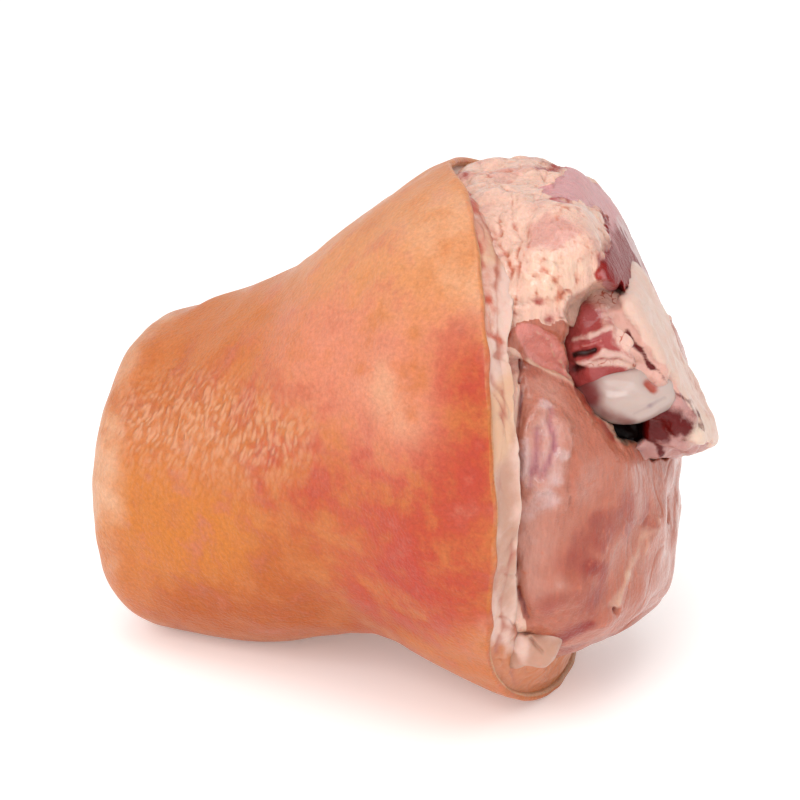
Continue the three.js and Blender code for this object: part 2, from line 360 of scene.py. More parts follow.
def finish_material(tree, colour, roughness, normal, scatter_mm, coat, coat_roughness):
    """Joins the parts at a shader. Light enters moist flesh and comes out redder a little way off, so
    scatter_mm is the distance that red travels, and green and blue go a third and a fifth of it. Flesh
    is mostly water and fat, so its IOR is about 1.4, and the film of water on it is the coat."""
    shader = add(tree, "BsdfPrincipled", {
        "Base Color": colour, "Roughness": roughness, "Normal": normal,
        "IOR": 1.4, "Specular IOR Level": 0.28,
        "Subsurface Weight": 0.35, "Subsurface Scale": scatter_mm * MM,
        "Subsurface Radius": (1.0, 0.35, 0.2), "Coat Weight": coat, "Coat Roughness": coat_roughness})
    add(tree, "OutputMaterial", {"Surface": shader})


# %% [markdown]
# ## The view
#
# The knuckle is seen from the near right, a little above. Much of the cut end's detail is easiest to
# place as a drawing on a clear sheet held up between the eye and the meat: where the eye sees the
# drawing fall on a surface, the mark is. The surface keeps it from then on, from any side.

# %% The camera and the clear sheet
VIEW_AZIMUTH, VIEW_ELEVATION = 23.0, 19.0
EYE_DISTANCE = 566.67
LOOK_AT = np.array([7.25, 0.0, 68.4])
SHEET_DISTANCE = 555.6
LENS, SENSOR = 100.0, 36.0
TOWARDS = facing(VIEW_AZIMUTH, VIEW_ELEVATION)
RIGHT = facing(VIEW_AZIMUTH + 90, 0)
UP = np.cross(TOWARDS, RIGHT)


def on_sheet(points):
    """Where the eye sees points on the sheet, in millimetres right and up of its middle: the distance
    right or up, times the sheet's distance, over the point's distance from the eye."""
    away = points - LOOK_AT
    reach = EYE_DISTANCE - away @ TOWARDS
    return SHEET_DISTANCE * np.stack([away @ RIGHT, away @ UP], -1) / reach[..., None]


def shaky_sheet(grid, size, seed, shake=0.5):
    """Points on the sheet, each moved right and up by shake times two sets of waves, so that no mark
    drawn there has a straight edge."""
    return on_sheet(grid) + shake * np.stack([waves(grid, size, seed), waves(grid, size, seed + 1)], -1)


def seen(grid):
    """1 where the surface faces the eye and 0 where it turns away."""
    return smooth_step(normals(grid) @ TOWARDS, -0.1, 0.15)


def drawn(sheet, front, **lists):
    """One mask for each list: its marks on the sheet, times front, which is 1 where the eye sees."""
    return {key: front * marks(sheet, listed) for key, listed in lists.items()}


camera_data = bpy.data.cameras.new("view")
camera_data.lens, camera_data.sensor_width = LENS, SENSOR
camera = bpy.data.objects.new("view", camera_data)
camera.location = (LOOK_AT + LEG_SHIFT + TOWARDS * EYE_DISTANCE) * MM
camera.rotation_euler = (math.radians(90 - VIEW_ELEVATION), 0, math.radians(VIEW_AZIMUTH))
bpy.context.collection.objects.link(camera)
bpy.context.scene.camera = camera

# %% [markdown]
# ## The rind
#
# Scalded and scraped pig skin, about 2 mm thick. It wraps the whole leg, curls in at the shank and ends
# in a clean cut at the joint. It could be a solid with its inside left away, but its cut edge shows
# all round, so the outside, both edges and the inside are one closed surface, like a stretched ring.

# %% The rind's surface
RIND_THICK = 2.0
RIND_COLUMNS, RIND_OUTER, RIND_INNER, RIND_EDGE = 550, 150, 16, 7
CROWD_AT_SHANK = 1.25  # over 1, the rows lie closer where the skin curls in

angle = all_round(RIND_COLUMNS)
half_turn = np.linspace(0, math.pi, RIND_EDGE + 2)[1:-1]
half_thick = RIND_THICK / 2
outside, edge, inside = np.zeros(RIND_OUTER), np.ones(RIND_EDGE), np.ones(RIND_INNER)
rind_along = rows_of(np.linspace(0, 1, RIND_OUTER) ** CROWD_AT_SHANK, edge,
                     np.linspace(1, 0, RIND_INNER), 0 * edge)
rind_depth = rows_of(outside, half_thick * (1 - np.cos(half_turn)),
                     RIND_THICK * inside, half_thick * (1 + np.cos(half_turn)))
rind_beyond = rows_of(outside, half_thick * np.sin(half_turn),
                      0 * inside, -half_thick * np.sin(half_turn))
rind = leg_point(rind_along, angle, rind_depth, rind_beyond)

# %% The rind's own relief, in millimetres
LONG_SWELL, SHORT_SWELL, HUMP_RISE, RAGGED = 0.45, 0.16, 1.4, 0.16
HUMP = [((-44, -2, 88), 7, 1.0)]

flat = leg_point(rind_along, angle, 0.0)
at_rim = smooth_step(rind_along, 0.9, 1.0)
swelling = (LONG_SWELL * waves(flat, 30, 1) + SHORT_SWELL * waves(flat, 11, 2)
            + HUMP_RISE * marks(flat, HUMP))
is_outer = (rind_depth < half_thick).astype(float)
off_ground = smooth_step(flat[..., 2], 0.5, 5)
rind = rind + normals(rind) * (swelling * is_outer * off_ground)[..., None]
rind[..., 0] += RAGGED * waves(flat, 9, 3) * at_rim
rind[..., 2] = np.maximum(rind[..., 2], 0)

# %% [markdown]
# ## The rind's colour
#
# The skin is thin over fat and red meat, so its colour changes from place to place: gold over fat,
# coral and red where blood has stayed in it. Light and shade are painted into it as well: the peach
# over the top is partly painted light from above, the brown at the left and along the bottom is partly
# painted shade, and the pale patches in front are mostly painted highlights. In front, the patches are
# drawn on the clear sheet, as the eye sees them. Behind, soft waves spread the same colours, and the
# peach comes in by height. Noise frays both, so no patch has an edge.

# %% Patches of the rind, on the sheet
GOLD = [((-70, -25), (-45, -32.5), 14, 0.8), ((-60, -40), (-45, -45), 10, 0.5), ((-40, 25), 11, 0.4)]
# Peach: the skin's lighter tone over the top, with painted light from above and the highlight near the rim.
PEACH = [
    ((-16.25, 31.25), (10, 46.25), 15, 0.9), ((17.5, 32.5), 15, 0.9), ((5, 25), 14, 0.7),
    ((22.5, 20), 6, 0.6)]
CORAL = [
    ((-17.5, 13.75), (-3.75, -7.5), 17, 0.9), ((-1.25, 0), 13, 0.9), ((10, 17.5), 12, 0.5),
    ((-25, 5), 10, 0.4)]
RED = [
    ((15.5, 13), (17, 5), 8, 0.3), ((17.5, 3.75), (19.5, -17.5), 10, 0.65),
    ((12.5, -25), (7.5, -45), 16, 0.6), ((-10, -17.5), (0, -40), 15, 0.5),
    ((-33.75, -19.5), (-25, -26.25), 9, 0.5), ((-6.25, -43.75), (17.5, -50), 10, 0.5),
    ((-37.5, 0), (-25, -15), 12, 0.25)]
# Brown: the skin's darker tone, with painted shade at the left end and along the bottom.
BROWN = [
    ((-62.5, 13.75), (-38.75, 0), 14, 0.35), ((-55, -52), (0, -55.5), 8, 0.9),
    ((-28.75, -41.25), 12, 0.6), ((-67.5, 0), 10, 0.4), ((-38.75, -12.5), 8, 0.2)]
# Pale: painted highlights on the left edge, on the goose flesh, in the middle and high near the rim, with
# some pale skin among them.
PALE = [
    ((7.5, 41.25), (18.75, 50), 8, 0.5), ((21, -60), 6, 0.3), ((-74.25, -6.25), (-73.5, -25), 5, 0.7),
    ((-73.5, -25), (-72, -40), 4, 0.4), ((-58.5, 20.5), 4, 0.5), ((13.75, 30), (20, 27.5), 6, 0.5),
    ((-3.75, 3.75), (0, -5), 7, 0.5), ((-50, -11.25), (-40, -17.5), 6, 0.2),
    ((-65, 17.5), (-70.5, 5), 4, 0.5)]
GOOSE_FLESH = [((-62.5, -6.25), (-37.5, -10), 11, 1.0), ((-50, 0), (-27.5, -10), 7, 0.8)]

# %% The rind's masks
# Behind, each colour has a strength, the waves' size and seed, and where they turn from none to full.
BEHIND = {"gold": (0.8, 60, 11, -0.6, 1.2), "coral": (0.7, 60, 12, -0.3, 1.4),
          "red": (0.5, 60, 13, -0.1, 1.6), "brown": (0.6, 60, 14, -0.2, 1.5),
          "pale": (0.3, 60, 15, -0.1, 1.6), "goose": (0.7, 40, 16, 0.2, 1.2)}
# Behind, the skin turns peach between these heights: painted light from above on the top of the leg.
PEACH_FROM, PEACH_TO = 85, 125

sheet, front = on_sheet(flat), seen(flat)
far = 1 - front
rind_masks = drawn(sheet, front, gold=GOLD, peach=PEACH, coral=CORAL, red=RED, brown=BROWN,
                   pale=PALE, goose=GOOSE_FLESH)
for key, (strength, size, seed, none_at, full_at) in BEHIND.items():
    rind_masks[key] += strength * far * smooth_step(waves(flat, size, seed), none_at, full_at)
rind_masks["peach"] += far * smooth_step(flat[..., 2], PEACH_FROM, PEACH_TO)
rind_masks["edge"] = at_rim * (1 - is_outer)
rind_piece = add_surface("rind", rind, rind_masks, closed_rows=True)

# %% The rind's finish
# Pig skin, scalded with hot water and scraped with a blade, so it is closed, waxy and damp. That gives
# the eye a soft, broad shine, and light that comes back redder from under it. Its blotches are 9 mm
# wide. Pores are 0.2 mm wide, too fine to show here, so they are drawn 1 mm wide. Goose flesh stands in
# bumps 1.15 mm across and 2.5 times as long, in leaning rows that the warp bends.
skin, tree, where = start_material("scalded pig skin")
blotch = add(tree, "TexNoise", {"Vector": where, "Scale": 1 / (9 * MM), "Detail": 7.0, "Roughness": 0.6})
speck = add(tree, "TexNoise", {"Vector": where, "Scale": 1 / (1.0 * MM), "Detail": 3.0, "Roughness": 0.7})
goose = add(tree, "Attribute", attribute_name="goose").outputs["Fac"]
warp = add(tree, "TexNoise", {"Vector": where, "Scale": 1 / (6 * MM), "Detail": 1.0})
leaning = add(tree, "Mapping", {"Vector": where, "Rotation": (0.0, -0.3, 0.0)})
bent = add(tree, "VectorMath", {0: warp.outputs["Color"], 1: (2.5 * MM,) * 3, 2: leaning},
           operation="MULTIPLY_ADD")
squeezed = add(tree, "Mapping", {"Vector": bent, "Scale": (1.0, 1.0, 0.4)})
wrinkle = add(tree, "TexVoronoi", {"Vector": squeezed, "Scale": 1 / (1.15 * MM), "Randomness": 0.8},
              feature="SMOOTH_F1")
wrinkled = add(tree, "MapRange", {0: wrinkle, 1: 0.2, 2: 0.62, 3: 1.0, 4: 0.0},
               interpolation_type="SMOOTHSTEP")
wrinkle_height = add(tree, "Math", {0: wrinkled, 1: goose}, operation="MULTIPLY")
colour = paint(tree, linear("#ba6a36"), blotch, [
    ("gold", "#bf7024", 0.0, 1.1, 2.2), ("peach", "#c98658", 0.0, 1.1, 1.5),
    ("coral", "#c97b5f", 0.0, 1.1, 2.2), ("brown", "#a8500f", 0.0, 1.1, 2.4),
    ("red", "#ad3624", 0.0, 1.1, 2.4), ("pale", "#ce9b79", 0.0, 1.0, 1.5),
    ("edge", "#c3936f", 0.3, 0.8, 0.2)])
mottled = add(tree, "MapRange", {0: speck, 1: 0.3, 2: 0.7, 3: 0.85, 4: 1.12})
colour = add(tree, "Mix", {0: 1.0, 6: colour, 7: mottled},
             data_type="RGBA", blend_type="MULTIPLY").outputs[2]
# The crest of each goose-flesh bump is painted lighter: a painted highlight.
crest = add(tree, "Math", {0: wrinkle_height, 1: 0.5}, operation="MULTIPLY")
colour = add(tree, "Mix", {0: crest, 6: colour, 7: linear("#d9a380")}, data_type="RGBA").outputs[2]
pore = add(tree, "TexVoronoi", {"Vector": where, "Scale": 1 / (1.0 * MM)}, feature="SMOOTH_F1")
normal = relief(tree, [(wrinkle_height, 0.4), (blotch, 0.6), (speck, 0.25), (pore, 0.15)])
gloss = add(tree, "MapRange", {0: speck, 1: 0.3, 2: 0.7, 3: 0.3, 4: 0.45})
finish_material(tree, colour, gloss, normal, 1.0, 0.12, 0.2)
rind_piece.data.materials.append(skin)
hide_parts("rind_and_fat")

# %% [markdown]
# ## The fat
#
# Under the skin lies soft back fat, white to cream, in lobes the size of a pea. It is cut flush with
# the rind, but it's soft, so it bulges out of the rim and sinks in at the creases between its lobes.
# A sculpting brush could push those in by hand. Cells and waves give the same lobes from a few sizes,
# evenly all the way round.

# %% The fat's surface
FAT_TOP = 1.3
FAT_COLUMNS, FAT_OUTER, FAT_EDGE, FAT_INNER, FAT_END = 800, 16, 44, 18, 14
SWELL_FROM_SKIN = 0.3  # the share of the rim's depth over which the fat swells out from the rind

fat_angle = all_round(FAT_COLUMNS)
across = np.linspace(0, 1, FAT_EDGE + 2)[1:-1]
outside, edge, inside, end = (np.ones(n) for n in (FAT_OUTER, FAT_EDGE, FAT_INNER, FAT_END))
fat_along = rows_of(np.linspace(0, 1, FAT_OUTER), edge, np.linspace(1, 0, FAT_INNER), 0 * end)
share = rows_of(0 * outside, across, inside, np.linspace(1, 0, FAT_END + 2)[1:-1])
rim_part = rows_of(0 * outside, smooth_step(across, 0, SWELL_FROM_SKIN), 0 * inside, 0 * end)
shank_part = rows_of(0 * outside, 0 * edge, 0 * inside, end)
inside_depth = fat_depth(fat_along, fat_angle)
fat = leg_point(fat_along, fat_angle, FAT_TOP + share * (inside_depth - FAT_TOP))

# %% The fat's swell and lobes, in millimetres
RIM_SWELL, TOP_SWELL, FLAP_SWELL = 3.6, 6.0, 2.5
LOBE_RISE, FOLD_RISE, TISSUE_DEPTH = 1.4, 0.5, 0.35
END_OUT, END_LOBES = 0.5, 0.9
LOBE_ROUND = 20.0  # the rim is unrolled on a circle smaller than itself, so its lobes come out long
FLAP_SWELL_SHIFT, FLAP_SWELL_SPAN = 0.4, 0.4

unrolled = np.stack(np.broadcast_arrays(LOBE_ROUND * np.cos(fat_angle), LOBE_ROUND * np.sin(fat_angle),
                                        share * inside_depth), -1)
lobes = cells(unrolled, 5.5, 5.0)
ring_tissue = creases(unrolled * (1.6, 1.6, 0.7), 7, 23, 0.3)
over_top = smooth_step(np.sin(fat_angle), 0.5, 1.0)
by_flap = bell(turned_from(fat_angle, FLAP_ANGLE + FLAP_SWELL_SHIFT) / FLAP_SWELL_SPAN)
swell = (RIM_SWELL + LOBE_RISE * (lobes - 0.4) + FOLD_RISE * waves(unrolled, 6, 21)
         + TOP_SWELL * over_top + FLAP_SWELL * by_flap)
fat[..., 0] += (rim_part * (share * swell - TISSUE_DEPTH * ring_tissue)
                + shank_part * (END_OUT - END_LOBES * lobes))

# %% Marks on the fat
RING_RED = [
    ((17, 53.25), (18.5, 47.25), 2.0, 0.9), ((18.5, 41.25), (20.5, 33), 1.3, 0.8),
    ((21.75, 25.5), 1.8, 1.0), ((21, 17.5), (25, 14.25), 0.8, 0.7),
    ((23, 22.5), (24.25, 16.25), 1.2, 0.4)]
RING_SHADE = [((26.5, -18.75), (26.5, -50), 4.0, 0.9), ((28, -7.5), (27, -20), 1.5, 0.5)]
# The skin folding under the ring's foot: painted brown and dark, the skin's own colour with the shade under
# the meat painted in.
RING_DRIED = [
    ((26.25, -68), (32.5, -71.5), 4.5, 1.0), ((32.5, -72), (40, -67), 5.0, 1.0),
    ((40, -67), (45, -62), 4.0, 1.0), ((23.75, -63), (26.25, -70), 3.0, 0.9)]
RING_PINK = [((18.5, 53.75), (22, 17.5), 4.5, 0.8)]

sheet, front = shaky_sheet(fat, 6, 24), seen(fat)
fat_masks = drawn(sheet, front, red=RING_RED, shade=RING_SHADE, dried=RING_DRIED, pink=RING_PINK)
# The creases between the lobes are painted darker and redder: painted shade in the creases.
fat_masks["crease"] = ((0.5 - lobes) * 2.5 + 0.25 * ring_tissue) * (rim_part + shank_part)
fat_masks["warm"] = smooth_step(waves(fat, 22, 22), 0.1, 1.2)
fat_piece = add_surface("soft_fat", fat, fat_masks, closed_rows=True)

# %% The fat's finish
# Soft back fat, cut with a knife and set in the cold, so the cut is smooth, dull and a little moist.
# Light goes 3 mm deep in it, which gives the eye a soft glow with no hard shadow. Its lobules are
# 2.2 mm wide, and its colour drifts over 5 mm.
soft_fat, tree, where = start_material("soft pork fat")
grain = add(tree, "TexNoise", {"Vector": where, "Scale": 1 / (5 * MM), "Detail": 4.0, "Roughness": 0.6})
lumps = add(tree, "TexVoronoi", {"Vector": where, "Scale": 1 / (2.2 * MM)}, feature="SMOOTH_F1")
colour = paint(tree, linear("#d5b3a6"), grain, [
    ("warm", "#cda387", 0.2, 1.0, 0.8), ("shade", "#b78b77", 0.2, 1.0, 0.8),
    ("dried", "#bf744a", 0.1, 0.8, 0.4), ("pink", "#c48672", 0.3, 1.2, 2.2),
    ("crease", "#ab634f", 0.35, 1.1, 0.6), ("red", "#b04a33", 0.25, 1.1, 1.4)])
normal = relief(tree, [(lumps, -0.35), (grain, 0.5)])
finish_material(tree, colour, 0.36, normal, 3.0, 0.3, 0.2)
fat_piece.data.materials.append(soft_fat)

# %% [markdown]
# ## Rounded bodies between planes
#
# The lean and the bone ends are rounded lumps with flattish sides. Each is the space between a few
# planes, with the edges between them rounded off, and the same numbers make the CAD's solids. A gauge
# says how far out a point is: under 1 inside the body, 1 on it and more outside.

# %% A body between planes
def directions(axis, rows, columns, crowd=0.0, crowd_at=0.0):
    """Unit directions on a grid: rows run from axis to its opposite, and columns turn round it. A
    column's angle is u - crowd sin(u - crowd_at), so columns lie closest together at crowd_at."""
    axis = np.array(axis, float)
    aside = np.cross(axis, [0.0, 1.0, 0.0])
    aside /= np.linalg.norm(aside)
    third = np.cross(axis, aside)
    polar = np.linspace(0, math.pi, rows + 2)[1:-1, None, None]
    u = all_round(columns, 0)[None, :, None]
    around = u - crowd * np.sin(u - crowd_at)
    return axis * np.cos(polar) + np.sin(polar) * (aside * np.cos(around) + third * np.sin(around))


def gauge(points, centre, faces, sharpness):
    """(sum over the faces of max((p - centre) . face / distance, 0)^sharpness)^(1/sharpness)."""
    away = points - np.array(centre)
    return sum(np.maximum(away @ facing(a, e) / d, 0) ** sharpness for a, e, d in faces) ** (1 / sharpness)


def soft_body(centre, faces, sharpness, way):
    """One body: along a direction the radius is 1 over the gauge of that direction."""
    return np.array(centre) + way / gauge(way + np.array(centre), centre, faces, sharpness)[..., None]


def joined_bodies(middle, bodies, blend, way, reach=110.0, halvings=20):
    """Bodies melted together: along each direction from the middle, halving finds the radius where
    -blend log(sum of exp(-gauge / blend)) is 1."""
    near, far = np.zeros(way.shape[:2]), np.full(way.shape[:2], reach)
    for _ in range(halvings):
        radius = (near + far) / 2
        points = np.array(middle) + way * radius[..., None]
        level = -blend * np.log(sum(np.exp(-gauge(points, *body) / blend) for body in bodies))
        near, far = np.where(level < 1, radius, near), np.where(level < 1, far, radius)
    return np.array(middle) + way * near[..., None]


def saw_face(centre, clear=0.0):
    """The saw plane as a face of a body with this centre."""
    return (SAW_AZIMUTH, SAW_ELEVATION, SAW_OFFSET - facing(SAW_AZIMUTH, SAW_ELEVATION) @ centre + clear)


# %% [markdown]
# ## The flesh of the cut end
#
# Below the joint lies a big round muscle under a silvery membrane. Above it the lean wears a cap of
# crinkled cream fat, and the saw has laid the lean bare at the outer end. They touch and cling, so
# they are one surface here: two bodies between planes, melted together where they meet.

# %% The two masses
MUSCLE_CENTRE = (45, -2, 46)
MUSCLE_FACES = [
    (0, 0, 47), (30, 0, 45.5), (60, 0, 39), (85, 0, 34.5), (105, 0, 36), (100, -12, 39), (82, -42, 39.5),
    (73, -51, 38.5), (0, -90, 36), (20, -45, 42), (0, -45, 39), (90, 38, 39.5), (95, 55, 47), (0, 50, 59),
    (0, 90, 60), (270, 0, 11), (180, 0, 50), (150, 0, 46), (180, -45, 45), (180, 50, 56), (135, -30, 45)]
UPPER_CENTRE = (42, 2, 96)
UPPER_FACES = [
    (0, 90, 36.7), (0, 0, 47.5), (0, 44, 43), (45, 8, 40), (40, -45, 25.5), (75, -60, 32), (0, -90, 40),
    (180, 0, 47), (180, 45, 43), (135, 10, 44), (270, 0, 23), (270, 45, 37), saw_face(UPPER_CENTRE)]
SWELLINGS = [
    ((77, 12, 32), 12.7, 2.0), ((64, -38, 68), 11.3, 2.0), ((64, -30, 116), 14.1, 2.5),
    ((52, -38, 116), 7.1, -1.5), ((27, 6, 122), 14, 4.5)]
FLESH_MIDDLE = (45, 0, 72)
MELT = 0.035
FLESH_SHARPNESS = 14
TOP_SINK, SINK_FROM, SINK_TO = 3.4, 112, 130

flesh_ways = directions((0, 0, 1), 332, 300, crowd=0.72, crowd_at=2.8)
flesh = joined_bodies(FLESH_MIDDLE, [(MUSCLE_CENTRE, MUSCLE_FACES, FLESH_SHARPNESS),
                                     (UPPER_CENTRE, UPPER_FACES, FLESH_SHARPNESS)], MELT, flesh_ways)
swollen = sum(rise * patch(flesh, at, radius) for at, radius, rise in SWELLINGS)
flesh = flesh + flesh_ways * swollen[..., None]
flesh[..., 2] -= TOP_SINK * smooth_step(flesh[..., 2], SINK_FROM, SINK_TO)
print("flesh reaches", flesh.reshape(-1, 3).max(0).round(1))

# %% Outlines on the sheet, in millimetres right and up: where fat, lean and hollows lie
FAT_BAND = [
    (17.5, 13.5), (22.5, 14), (25, 14.75), (28.25, 14), (30.5, 12), (30.75, 8.5), (29.75, 0), (29, -9),
    (28.25, -17.5), (28, -28.5), (28.25, -40.5), (29, -47), (30, -52.5), (32.5, -60), (33, -72.5),
    (17.5, -72.5)]
CAP_ABOVE = [
    (10, 13.5), (22.5, 14), (27, 15.5), (29.75, 18.75), (33, 20), (36.25, 19), (39.5, 20), (41.75, 19.5),
    (45, 19.5), (50, 22), (56.25, 23.5), (60, 23), (65, 20), (80, 17.5), (80, 75), (10, 75)]
SAWN_LEAN = [
    (36.25, 60), (42.5, 58.5), (38.25, 54), (34.25, 52.25), (38.25, 50.75), (44.25, 49.75), (49.25, 48),
    (51.5, 44.5), (53, 38.5), (50, 35), (50, 31.25), (55.5, 28), (63, 22.25), (80, 17.5), (80, 75),
    (36.25, 75)]
POCKET = [
    (42, 22), (43.5, 24.5), (47.5, 27.5), (50, 29.5), (56.25, 29), (66.25, 20), (77.5, -5),
    (76.25, -11.5), (69, -13), (65.5, -14.25), (62.5, -12.75), (60, -10.25), (56.75, -10.25),
    (54.5, -9.25), (52.5, -6), (49.75, -3.25), (46.5, 0.5), (42.75, 6.5), (42.25, 12.5)]
OVAL = [
    (31.75, 43.25), (36, 51), (43.75, 49), (49.5, 46.25), (50.75, 40), (48, 35.5), (40, 34.5), (32, 36)]
OVAL_GREY = [(31, 42), (36.25, 46), (43.75, 44.5), (45.5, 40), (40, 37.5), (32.5, 37.5)]
YELLOW_LUMPS = [(32, 36), (40, 37), (47.5, 34.5), (45.75, 27.5), (40, 23.75), (32.5, 26), (30.5, 31.25)]
RED_TRIANGLE = [
    (29.25, 17.5), (31, 19), (36.25, 18.5), (39.5, 15), (41.5, 12), (42.5, 7), (44, 2.5), (40.25, 4.5),
    (36.25, 7.25), (32.5, 10), (30.25, 13.75)]
SPINDLE = [
    (32, -1.25), (35, 0.5), (41.75, -5.5), (44, -8.5), (43, -14), (37.5, -22.5), (31.5, -24.5),
    (29, -19.5), (29.25, -10.25), (30.5, -4.25)]

# %% Strokes and spots on the sheet
SPINDLE_GROOVES = [
    ((34, -7.5), (33.5, -17.5), 1.3, 0.8), ((33.5, -17.5), (31.75, -22), 1.0, 0.6),
    ((37.25, -3), (38.25, -11.25), 1.2, 0.8), ((38.25, -11.25), (35.75, -19), 1.2, 0.8)]
# Painted sheen: the white glints of the wet membrane by the spindle are drawn as colour. The same coat also
# gives the spindle its own pale colour.
SHEEN = [
    ((37, -25), 3.5, 0.9), ((33, -28), 3, 0.8), ((40.75, -20), 2.5, 0.8), ((41.5, -13.75), 1.8, 0.9),
    ((31.25, -10), (30.5, -17.5), 1.2, 0.8), ((35.75, -1.25), 2.0, 0.8), ((32.5, -35), 3, 0.5),
    ((39.25, -45), 2.0, 0.6)]
MEMBRANE = [
    ((35, 0), (32.5, -40), 9, 0.9), ((48, -20), 10, 0.3), ((60, -38), 8, 0.4), ((39.25, -45), 2.0, 0.8),
    ((33.75, -47.5), 3.5, 0.6), ((36.25, 2), 3, 0.8)]
SEAMS = [
    ((30.5, 9.5), (29.25, -9), 0.6, 1.0), ((29.25, -9), (28, -28.5), 0.6, 1.0),
    ((28, -28.5), (29, -47), 0.6, 1.0), ((29, -47), (31.5, -55), 0.8, 1.0),
    ((43.5, -7.5), (42.5, -28.5), 0.5, 0.5)]
DEEP_RED = [
    ((48.5, -41.5), 4.0, 1.0), ((38.75, -59.75), (47.25, -56.75), 1.6, 1.0), ((40, -40), 6, 0.5),
    ((36.25, -50), 6, 0.6), ((47.5, -50), 7, 0.6), ((47, 1.25), (53.75, -10), 1.6, 0.8)]
PALE_STREAKS = [
    ((62, -32), (57.5, -43.75), 1.1, 0.55), ((57.5, -43.75), (53.5, -51.5), 1.2, 0.7),
    ((63.75, -30), (60, -43.75), 0.6, 0.4), ((60, -17.5), (63, -30), 1.4, 0.35),
    ((57, -30), (50, -47.5), 0.5, 0.3), ((26.25, -10), (25, -20), 0.8, 0.3)]
TENDONS = [
    ((31.5, 10.5), (37, 7), 0.45, 1.0), ((37, 7), (42.5, 4), 0.5, 1.0),
    ((35.75, 16.5), (39.5, 10), 0.35, 0.9), ((39.5, 10), (43, 4), 0.35, 0.9),
    ((42.5, 4), (48, -6), 0.35, 0.6), ((48, -6), (49.5, -17.5), 0.3, 0.35)]
RIDGE = [
    ((42.25, 20.5), (42.5, 12.5), 0.7, 0.9), ((42.5, 12.5), (42.75, 6.5), 0.7, 0.9),
    ((42.75, 6.5), (49.75, -3.5), 0.8, 0.9), ((49.75, -3.5), (54.5, -9.5), 0.8, 0.9),
    ((54.5, -10), (60, -10.75), 1.0, 0.8)]
NICKS = [((53.5, -52.25), 0.9, 1.0), ((67.75, -25), (67.5, -30), 0.6, 0.8)]
TORN = [
    ((35, 24.5), 1.6, 0.8), ((37.75, 20.5), 1.6, 0.8), ((21.75, 25.25), 1.2, 0.7),
    ((16.5, 55.5), (19.5, 48), 1.4, 0.5), ((34.25, 51), (43, 50.25), 0.6, 0.8),
    ((35.25, 57.5), (40.75, 59.25), 1.6, 1.0), ((50, 0.5), (57, -10.5), 0.7, 0.6),
    ((49.5, 37), (50.75, 30), 0.7, 0.45), ((26.75, 15.5), (30, 19.5), 0.9, 0.6),
    ((27, -50), (28, -54.5), 1.2, 0.4)]
TALLOW = [((30, -61.25), 5.0, 1.0), ((27, -51.5), 2.5, 0.6), ((26.25, -42.5), (25, -50), 1.5, 0.5)]
CREASES = [
    ((17.5, 46.5), (21.5, 40.5), 0.5, 0.8), ((21.5, 40.5), (24.5, 23.75), 0.5, 0.9),
    ((24.5, 45), (27.25, 32.5), 0.5, 0.8), ((27.25, 32.5), (25.75, 25), 0.5, 0.8),
    ((28, 50), (30, 37.5), 0.4, 0.6), ((30, 37.5), (28.25, 17.5), 0.5, 0.8),
    ((17.5, 56.25), (30, 58), 0.4, 0.5), ((24.25, 5), (23, -7.5), 0.4, 0.5),
    ((25, -40), (27.5, -55), 0.5, 0.7)]
# A pale strip along the lean's outer edge: the membrane there, with the highlight on the edge painted in.
WHITE_STRIP = [((55, 46), (60.5, 35.75), 0.8, 1.0), ((60.5, 35.75), (62.75, 27), 0.8, 1.0)]
DARK_LEAN = [
    ((51.5, 43.5), (53.5, 37.5), 0.9, 0.9), ((54, 35.5), (60.5, 24.5), 3.4, 1.0),
    ((50.5, 34.5), (53, 31), 0.9, 0.9), ((49, 47.75), (51.5, 44), 0.7, 0.9),
    ((56, 42), (62, 27.5), 3.0, 0.8)]

# %% Where fat, lean and hollows lie
# How soft and how ragged each outline's edge is, and how far from the saw plane the lean is bare, are
# in millimetres. sawn_edge is a line along the rim of the sawn lean.
CAP_FROM = 92  # behind, the cap's fat begins at this height

sheet, front = shaky_sheet(flesh, 7, 46), seen(flesh)
fray = 0.45 * waves(flesh, 5, 41) + 0.2 * waves(flesh, 2.2, 44)
from_saw = SAW_OFFSET - flesh @ facing(SAW_AZIMUTH, SAW_ELEVATION)
band = front * region(sheet, FAT_BAND, 0.6, 0.3 * fray)
cap_edge = CAP_FROM + 7 * waves(flesh, 30, 45)
cap = (front * region(sheet, CAP_ABOVE, 0.6, fray)
       + (1 - front) * smooth_step(flesh[..., 2], cap_edge - 1, cap_edge + 1))
bare = np.maximum(front * region(sheet, SAWN_LEAN, 0.4, 0.6 * fray),
                  (1 - smooth_step(from_saw, 0.8, 1.8)) * (1 - front))
fat_here = np.clip(band + cap, 0, 1) * (1 - bare)
spindle = front * region(sheet, SPINDLE, 2.4)
triangle = front * region(sheet, RED_TRIANGLE, 0.8, 0.4 * fray)
oval = front * region(sheet, OVAL, 1.6)
yellow = front * region(sheet, YELLOW_LUMPS, 2.0)
near = 1 - smooth_step(flesh[..., 1], -2, 8)  # the pocket lies on the near side alone
hollow = near * front * region(sheet, POCKET, 1.1, 0.4 * fray)
sawn_edge = bell(3 * region(sheet, SAWN_LEAN, 1.2, fray) - 1.8) * front
sawn_edge = sawn_edge * smooth_step(sheet[..., 1], 26, 30) * (1 - smooth_step(sheet[..., 1], 47, 51))

